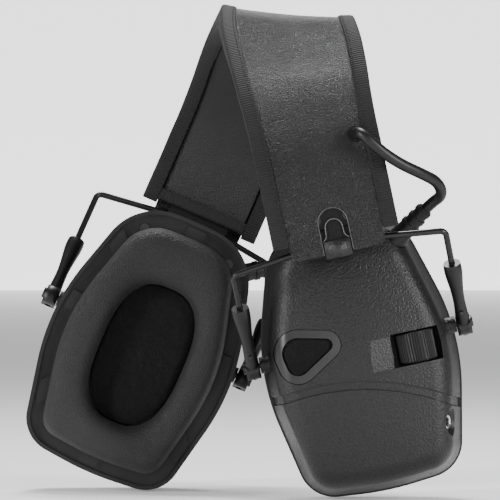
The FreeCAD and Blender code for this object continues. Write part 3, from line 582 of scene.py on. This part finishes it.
# ---- headband -----------------------------------------------------------------------
def window_outline(grow=0.0):
    """The arch-topped window near each band end, as (across, height above the bar)."""
    half = WINDOW_HALF_WIDTH + grow
    top = WINDOW_TOP - WINDOW_HALF_WIDTH
    outline = [(-half, -8.0), (half, -8.0)]
    for k in range(17):
        angle = math.pi * k / 16
        outline.append((half * math.cos(angle), top + half * math.sin(angle)))
    return outline


def cover_depth(s, across):
    """How deep the leather's outer surface lies; it is crowned between its bindings."""
    crown = COVER_CROWN * max(0, 1 - (across / 19.6) ** 2)
    dents = 0.10 * ripple(s, across, 3.0, 22.0)
    return 0.05 - crown * smooth((along(80) - abs(s)) / 25) + dents


def headband_cover():
    end = along(BAR_DROP + 3.4)
    count, across_count = 150, 26
    points, uvs = [], []
    for k in range(count + 1):
        s = -end + 2 * end * k / count
        # the leather runs on under the bindings; below them is a flap with rounded corners
        nearest = end - abs(s)
        tucked = COVER_TUCK * smooth((along(FLAP_DROP) - 1.0 - abs(s)) / 1.8)
        half = FLAP_HALF_WIDTH - 0.1 + tucked + spread(s) - 1.6 * max(0, 1 - nearest / 2.2) ** 2
        loop = [(-half + 2 * half * i / across_count) for i in range(across_count + 1)]
        for a in loop:
            points.append(band_point(s, cover_depth(s, a), a))
            uvs.append((s * MM, a * MM))
        for a in reversed(loop):
            points.append(band_point(s, COVER_T, a))
            uvs.append((s * MM, a * MM))
    faces = tube_faces(count + 1, 2 * (across_count + 1))
    cover = make_object("band_cover", points, faces, "band_leather", uvs)
    make_normals_outward(cover)
    cutters = []
    place, outward, forward = eyelet_frame()
    circle = [(EYELET_HOLE_R * math.cos(2 * math.pi * k / 24),
               EYELET_HOLE_R * math.sin(2 * math.pi * k / 24)) for k in range(24)]
    for side in LEAN:
        cutters.append(prism_between(
            "window_cut", window_outline(), lambda x, a, b: end_place((x, a, b), side), 0, 8))
        cutters.append(prism_between(
            "eyelet_cut", circle,
            lambda d, a, b: to_world(place + outward * d + forward * a + Vector((0, b, 0)), side),
            -4, 4))
    cut_with(cover, cutters)
    modifier = cover.modifiers.new("edges", "BEVEL")
    modifier.width = 0.00028
    modifier.segments = 2
    modifier.limit_method = "ANGLE"
    modifier.angle_limit = math.radians(50)
    modifier.harden_normals = True
    apply_modifiers(cover)
    return cover


def binding_loop(side):
    """Section of the folded tape at one edge of the band; side is -1 in front, +1 behind."""
    def section(s):
        low = pad_depth(s) + 0.05
        edge = side * (HALF_WIDTH + 0.05 + spread(s))
        lap = side * (HALF_WIDTH - BINDING_WIDTH + spread(s))
        outer = side * (HALF_WIDTH + 0.55 + spread(s))
        swell = 0.12 * ripple(s, 5.0 * side, 0.0, 9.0)
        inner = [(-0.03, lap), (-0.05, edge), (low * 0.5, edge), (low, edge), (low, lap)]
        back = [(low + 0.40, lap), (low + 0.55, lap + side * 0.8), (low + 0.5, outer - side * 1.4),
                (low + 0.1, outer - side * 0.2), (low * 0.75, outer + side * swell),
                (low * 0.5, outer + side * swell), (low * 0.25, outer), (0.4, outer),
                (-0.3, outer - side * 0.35), (-0.55, outer - side * 1.4),
                (-0.60 + swell * 0.5, lap + side * 2.8), (-0.55, lap + side * 0.7), (-0.38, lap)]
        return inner + back
    return section


cover = headband_cover()
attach(cover, "headband")
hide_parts("headband_cover")

# Painted highlight: a light grey for the thin tubes along the window's edge and the clip tongue's
# rim, standing in for the light their moulded edges catch.
EDGE_HIGHLIGHT = moulded("painted_edge_highlight", (0.09, 0.09, 0.09), 0.35, 1500, 0.00002, 0.5)


def edge_line(name, outline, depth, radius, body, slot):
    """A fine tube that follows an outline (across, height) near the end of the band, coloured light
    as a painted highlight of the moulded edge.
    """
    for side in LEAN:
        line = [end_place((depth, a, b), side) for a, b in outline]
        obj = sweep(name + "_" + side, line, lambda share: radius * MM, slot, 8)
        obj.data.materials[0] = EDGE_HIGHLIGHT
        make_normals_outward(obj)
        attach(obj, body)


def tongue_outline():
    """The raised rim of the clip's tongue, flaring out to its textured foot."""
    radius, top = 3.45, 7.2
    arch = [(radius * math.cos(math.pi * k / 16), top + radius * math.sin(math.pi * k / 16))
            for k in range(17)]
    return [(5.3, 2.3), (4.3, 3.0), (3.6, 4.2)] + arch + [(-3.6, 4.2), (-4.3, 3.0), (-5.3, 2.3)]


FOOT_OUTLINE = [(-5.3, -4.8), (5.3, -4.8), (5.3, 2.1), (-5.3, 2.1)]
FOOT_GRIP = moulded("foot_grip", (0.016, 0.016, 0.0165), 0.42, 1100, 0.00050)
for side in LEAN:
    grip = prism_between("foot_grip_" + side, FOOT_OUTLINE,
                         lambda x, a, b: end_place((x, a, b), side), 3.3, 3.72)
    grip.data.materials[0] = FOOT_GRIP
    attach(grip, "headband")

rim = window_outline(0.1)[1:] + window_outline(0.1)[:1]
window_line = [(rim[0][0], -3.0)] + rim[1:-1] + [(rim[-1][0], -3.0)]
edge_line("window_rim_highlight", window_line, 3.62, 0.14, "headband", "band_leather")
edge_line("tongue_rim_highlight", tongue_outline(), 3.2, 0.2, "headband", "clip_plastic")

flap_end = along(FLAP_DROP)
for name, sign in (("front", -1), ("rear", 1)):
    tape = strip("binding_" + name, "binding", binding_loop(sign), -flap_end, flap_end, 1.5)
    make_normals_outward(tape)
    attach(tape, "headband")
    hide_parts("edge_binding_" + name)

lining_end = along(BAR_DROP - 4.5)


def lining_depth(s, across):
    """The padded inner surface: full in the middle and drawn down at the bindings."""
    pull = 0.55 * (abs(across) / 19.1) ** 4
    folds = 0.30 * ripple(s, across * 0.35, 7.0, 11.0) + 0.22 * ripple(s, across, 1.0, 5.0)
    ends = 0.8 * smooth(1 - (lining_end - abs(s)) / 8)
    return pad_depth(s) - 0.35 - pull + folds * (1 - (across / 19.1) ** 2) - ends


def lining_section(s):
    half = HALF_WIDTH - BINDING_WIDTH - 0.05 + spread(s)
    places = [half * (k / 14 - 1) for k in range(29)]
    inner = [(lining_depth(s, a), a) for a in places]
    outer = [(pad_depth(s) - 3.1, a) for a in reversed(places)]
    return outer + inner


lining = strip("band_lining", "lining_leather", lining_section, -lining_end, lining_end, 2.0)
make_normals_outward(lining)
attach(lining, "headband")
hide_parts("headband_lining")


def end_tape_section(s):
    half = HALF_WIDTH - BINDING_WIDTH - 0.15
    places = [half * (k / 10 - 1) for k in range(21)]
    low = [(lining_depth(s, a) - 0.05, a) for a in places]
    high = [(pad_depth(s) + 0.45, a) for a in reversed(places)]
    return low + high


for name, sign in (("left", 1), ("right", -1)):
    tape = strip("end_tape_" + name, "binding", end_tape_section,
                 sign * along(BAR_DROP - 9.1), sign * lining_end, 0.8, swap=True)
    make_normals_outward(tape)
    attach(tape, "headband")
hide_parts("end_tapes")


def stitch_row(name, side, across, s_from, s_to, pitch, depth):
    """Short thread stitches in a row along the band."""
    points, faces = [], []
    count = int((s_to - s_from) / pitch)
    for k in range(count):
        middle = s_from + (k + 0.5) * pitch
        ring = []
        for t, lift in ((-0.36, 0.0), (-0.22, 0.16), (0.22, 0.16), (0.36, 0.0)):
            for a, h in ((-0.18, 0.0), (0.0, 0.1), (0.18, 0.0), (0.0, -0.1)):
                place = across + math.copysign(spread(middle), across) + a
                ring.append(band_point(side * (middle + t * pitch), depth - lift - h, place))
        base = len(points)
        points += ring
        faces += [tuple(base + i for i in face) for face in ring_faces(4, 4, closed=False)]
        faces.append((base + 3, base + 2, base + 1, base))
        faces.append((base + 12, base + 13, base + 14, base + 15))
    obj = make_object(name, points, faces, "binding")
    make_normals_outward(obj)
    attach(obj, "headband")


for name, sign in (("left", 1), ("right", -1)):
    for across in (-20.4, 20.4):  # on the bindings, just outside the leather
        where = "front" if across < 0 else "rear"
        stitch_row("stitches_" + name + "_" + where, sign, across, 1.0, flap_end - 2, 2.6, -0.56)


# ---- ear cushions and foams ---------------------------------------------------------
def opening_radius(way):
    """Reach of the ear opening, a squared-off oval, along a unit direction from its centre."""
    share = abs(way.x / EAR_HALF[0]) ** EAR_POWER + abs(way.y / EAR_HALF[1]) ** EAR_POWER
    return share ** (-1 / EAR_POWER)


def in_opening(share, angle, margin=0.5):
    """A point of the opening, as (y, z) in the cup frame: share 0 is its centre, 1 its edge."""
    way = Vector((math.cos(angle), math.sin(angle)))
    return Vector(EAR_CENTRE) + way * (opening_radius(way) - margin) * share


def ear_cushion(side):
    """A crowned ring: full at its outer shoulder and rolled into the ear opening."""
    outline = rounded_outline(RIM_POINTS, RIM_RADII, PLATE_INSET)
    centre = Vector(EAR_CENTRE)
    count = 144
    # share of the way from the opening to the outer edge, and depth from back to face
    profile = [(0.985, 0.00), (1.000, 0.05), (0.992, 0.10), (1.000, 0.17), (1.000, 0.42),
               (0.993, 0.60), (0.965, 0.76), (0.905, 0.90), (0.815, 0.975), (0.700, 1.00),
               (0.560, 1.00), (0.420, 0.985), (0.290, 0.955), (0.180, 0.90), (0.090, 0.81),
               (0.030, 0.68), (0.000, 0.50), (0.010, 0.30), (0.060, 0.10), (0.120, 0.00)]
    points = []
    for share, rise in profile:
        x = CUSHION_BACK_X + (CUSHION_FACE_X - CUSHION_BACK_X) * rise
        for k in range(count):
            angle = 2 * math.pi * k / count
            way = Vector((math.cos(angle), math.sin(angle)))
            far = ray_radius(outline, centre, way)
            near = opening_radius(way)
            spot = centre + way * (near + (far - near) * share)
            crease = 0.16 * ripple(angle * 26, 9.0 * share, 2.0, 2.2) * smooth(1 - share * 1.6)
            sag = 0.35 * ripple(spot.x, spot.y, 4.0, 26.0) * smooth(rise * 2 - 1)
            points.append(from_cup((x + max(0.0, crease + sag), spot.x, spot.y), side))
    faces = ring_faces(len(profile), count, closed=True)
    obj = make_object("cushion_" + side, points, faces, "cushion")
    make_normals_outward(obj)
    subdivide(obj)
    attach(obj, "cup_" + side)
    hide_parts("ear_cushion_" + side)


def ear_foam(side):
    """The loose foam pad seen inside the opening, slightly dished and rough."""
    rings, count = 26, 96
    points = [from_cup((FOAM_FACE_X + 0.9, *EAR_CENTRE), side)]
    for r in range(1, rings + 1):
        share = r / rings
        for k in range(count):
            angle = 2 * math.pi * k / count
            y, z = in_opening(share, angle)
            dish = 0.9 * (1 - share ** 2) + 1.6 * smooth((share - 0.86) / 0.14)
            fluff = 0.35 * ripple(y, z, 9.0, 2.4) + 0.25 * ripple(y, z, 5.0, 0.9)
            points.append(from_cup((FOAM_FACE_X + 0.45 + dish + fluff, y, z), side))
    for k in range(count):
        angle = 2 * math.pi * k / count
        points.append(from_cup((FOAM_BACK_X, *in_opening(1, angle)), side))
    faces = [(0, 1 + k, 1 + (k + 1) % count) for k in range(count)]
    for r in range(rings):
        low, high = 1 + r * count, 1 + (r + 1) * count
        for k in range(count):
            j = (k + 1) % count
            faces.append((low + k, high + k, high + j, low + j))
    last = 1 + rings * count
    faces.append(tuple(range(last, last + count)))
    obj = make_object("ear_pad_" + side, points, faces, "ear_foam")
    make_normals_outward(obj)
    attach(obj, "cup_" + side)
    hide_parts("ear_foam_" + side)


def mic_foam(side):
    """The wind foam in the microphone's bezel: it follows the cup's face and is fuzzy."""
    outline = rounded_outline(MIC_POINTS, MIC_RADII, MIC_RING + 0.15, 14)
    middle = Vector((sum(p.x for p in outline), sum(p.y for p in outline))) / len(outline)
    count = len(outline)
    surface = NODES["mic_foam_" + side]
    out = 1 if side == "left" else -1
    rings = 22
    points = []
    drops = {}
    for r in range(rings + 1):
        share = r / rings
        for k, corner in enumerate(outline):
            spot = middle + (corner - middle) * share
            probe = middle + (corner - middle) * min(share, 0.985)
            origin = from_cup((40.0, probe.x, probe.y), side)
            hit, place, _, _ = surface.ray_cast(origin, Vector((-out, 0, 0)))
            if hit:
                drops[k] = abs(place.x / MM - PIVOT[side].x)
            x = drops[k]
            fluff = 0.22 * ripple(spot.x, spot.y, 2.0, 1.5) + 0.16 * ripple(spot.x, spot.y, 8.0, 0.7)
            edge = 0.55 * smooth((share - 0.88) / 0.12)
            points.append(from_cup((x - 0.15 + fluff - edge, spot.x, spot.y), side))
    for k, corner in enumerate(outline):
        points.append(from_cup((drops[k] - 2.0, corner.x, corner.y), side))
    faces = ring_faces(rings + 2, count, closed=False)
    faces.append(tuple(range((rings + 1) * count, (rings + 2) * count)))
    obj = make_object("wind_foam_" + side, points, faces, "mic_foam")
    make_normals_outward(obj)
    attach(obj, "cup_" + side)
    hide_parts("mic_foam_" + side)


for side in LEAN:
    ear_cushion(side)
    ear_foam(side)
    mic_foam(side)


# ---- volume wheel and audio socket --------------------------------------------------
def thumbwheel():
    """A wheel with fine vertical ribs and rounded rims."""
    ribs = 44
    per_rib = 6
    count = ribs * per_rib
    shape = [0.0, 0.6, 1.0, 1.0, 0.6, 0.0]
    levels = [(KNOB_Z[0], 0.75, 0.0), (KNOB_Z[0] + 0.25, 0.3, 0.3), (KNOB_Z[0] + 0.8, 0.0, 1.0),
              (KNOB_Z[1] - 0.8, 0.0, 1.0), (KNOB_Z[1] - 0.25, 0.3, 0.3), (KNOB_Z[1], 0.75, 0.0)]
    points = []
    for z, inset, ribbed in levels:
        for k in range(count):
            angle = 2 * math.pi * k / count
            radius = KNOB_R - 0.05 - inset - 0.42 * ribbed * (1 - shape[k % per_rib])
            points.append(from_cup((KNOB_CENTRE[0] + radius * math.cos(angle),
                                    KNOB_CENTRE[1] + radius * math.sin(angle), z), "left"))
    faces = tube_faces(len(levels), count)
    obj = make_object("ribbed_wheel", points, faces, "black_trim", smooth_shading=False)
    make_normals_outward(obj)
    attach(obj, "thumbwheel")
    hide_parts("volume_thumbwheel")


def socket_ring():
    """The bright rim of the audio socket, with its round lip."""
    across = JACK_AXIS.orthogonal().normalized()
    other = JACK_AXIS.cross(across)
    sides, turns = 12, 48
    points = []
    for k in range(turns):
        angle = 2 * math.pi * k / turns
        out = across * math.cos(angle) + other * math.sin(angle)
        for i in range(sides):
            tilt = 2 * math.pi * i / sides
            spot = (JACK_MOUTH - JACK_AXIS * 0.15 + out * (2.45 + 0.45 * math.cos(tilt))
                    + JACK_AXIS * 0.45 * math.sin(tilt))
            points.append(from_cup(spot, "left"))
    obj = make_object("socket_ring", points, ring_faces(turns, sides), "jack_metal")
    make_normals_outward(obj)
    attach(obj, "cup_left")


thumbwheel()
socket_ring()

# ---- floor and backdrop -------------------------------------------------------------
def studio_plane(name, corners, grey, glow):
    """A matt plane that gives off a little white light of its own."""
    material, _, shader = new_material(name, (grey, grey, grey), 0.9)
    shader.inputs["Emission Color"].default_value = (1, 1, 1, 1)
    shader.inputs["Emission Strength"].default_value = glow
    plane = make_object(name, corners, [(0, 1, 2, 3)], "black_trim")
    plane.data.materials.clear()
    plane.data.materials.append(material)
    return plane


FLOOR_Z = -0.0006
floor = studio_plane("floor", [(-6, -6, FLOOR_Z), (6, -6, FLOOR_Z), (6, 6, FLOOR_Z),
                               (-6, 6, FLOOR_Z)], 0.93, 0.20)
backdrop = studio_plane("backdrop", [(-4, -1, -0.1), (-4, 1, -0.1), (-4, 1, 1.6), (-4, -1, 1.6)],
                        0.9, 1.8)
